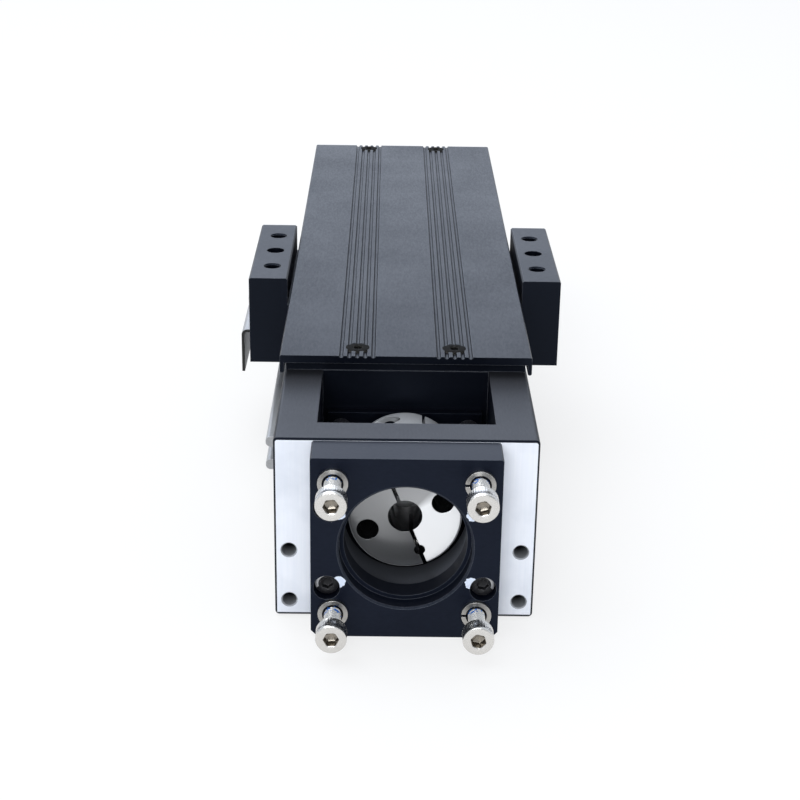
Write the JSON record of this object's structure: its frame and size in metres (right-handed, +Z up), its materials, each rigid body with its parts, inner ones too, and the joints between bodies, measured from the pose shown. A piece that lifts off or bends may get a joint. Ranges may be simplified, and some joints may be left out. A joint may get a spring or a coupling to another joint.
{
  "type": "ball screw linear stage",
  "caption": "Motor-ready linear stage: a ball screw in a U-section rail drives a table under a fixed grooved cover, with a coupling in the open-topped motor housing.",
  "frame": {"origin": "centre of the four base mounting holes, on the base face", "axes": "+Y along the screw away from the motor end, +Z up from the base face, +X to the right as seen from the motor"},
  "size_m": [0.0884, 0.274, 0.0523],
  "materials": {
    "black_anodised": "satin black anodised",
    "rail_steel": "ground, black coated",
    "stainless": "bright stainless",
    "black_screws": "black oxide",
    "rubber": "matt",
    "seal_rubber": "matt",
    "cap_plastic": "moulded",
    "plain_aluminium": "extruded, clear anodised",
    "hub_aluminium": "turned",
    "spring_steel": "bright",
    "ground_steel": "ground",
    "block_steel": "ground",
    "flag_steel": "black sheet"
  },
  "bodies": {
    "stage": {"outer_rail": "rail_steel", "motor_housing": "black_anodised", "rear_housing": "black_anodised", "motor_plate": "black_anodised", "plate_screws": "black_screws", "motor_screws": "stainless", "lock_washers": "stainless", "top_cover": "black_anodised", "cover_screws": "black_screws", "rail_screws": "stainless", "bearing_cap": "black_anodised", "bearing_cap_screws": "black_screws", "front_bearing_outer_rings": "ground_steel", "rear_bearing_outer_ring": "ground_steel", "seat_clip": "spring_steel", "front_stop": "rubber", "rear_stop": "rubber", "sensor_rail": "plain_aluminium", "sensor_rail_screws": "stainless"},
    "screw": {"ball_screw": "ground_steel", "lock_nut": "ground_steel", "front_bearing_inner_rings": "ground_steel", "rear_bearing_inner_ring": "ground_steel", "shaft_clip": "spring_steel", "coupling_front_hub": "hub_aluminium", "coupling_rear_hub": "hub_aluminium", "coupling_disc": "spring_steel", "coupling_bolts": "black_screws", "coupling_clamp_screws": "stainless"},
    "carriage": {"inner_block": "block_steel", "front_end_cap": "cap_plastic", "rear_end_cap": "cap_plastic", "end_seals": "seal_rubber", "ball_rows": "ground_steel", "carriage_table": "black_anodised", "table_screws": "stainless", "sensor_flag": "flag_steel", "flag_screws": "stainless"}
  },
  "joints": [
    {"name": "carriage_slide", "type": "slide", "parent": "stage", "child": "carriage", "axis": [0, 1, 0], "range_m": [-0.0255, 0.088]},
    {"name": "screw_spin", "type": "hinge", "parent": "stage", "child": "screw", "pos_m": [0, 0, 0.0225], "axis": [0, 1, 0], "range_deg": [-3170, 920]}
  ],
  "couplings": [
    {"joint": "screw_spin", "follows": "carriage_slide", "rad_per_m": -628.32}
  ]
}
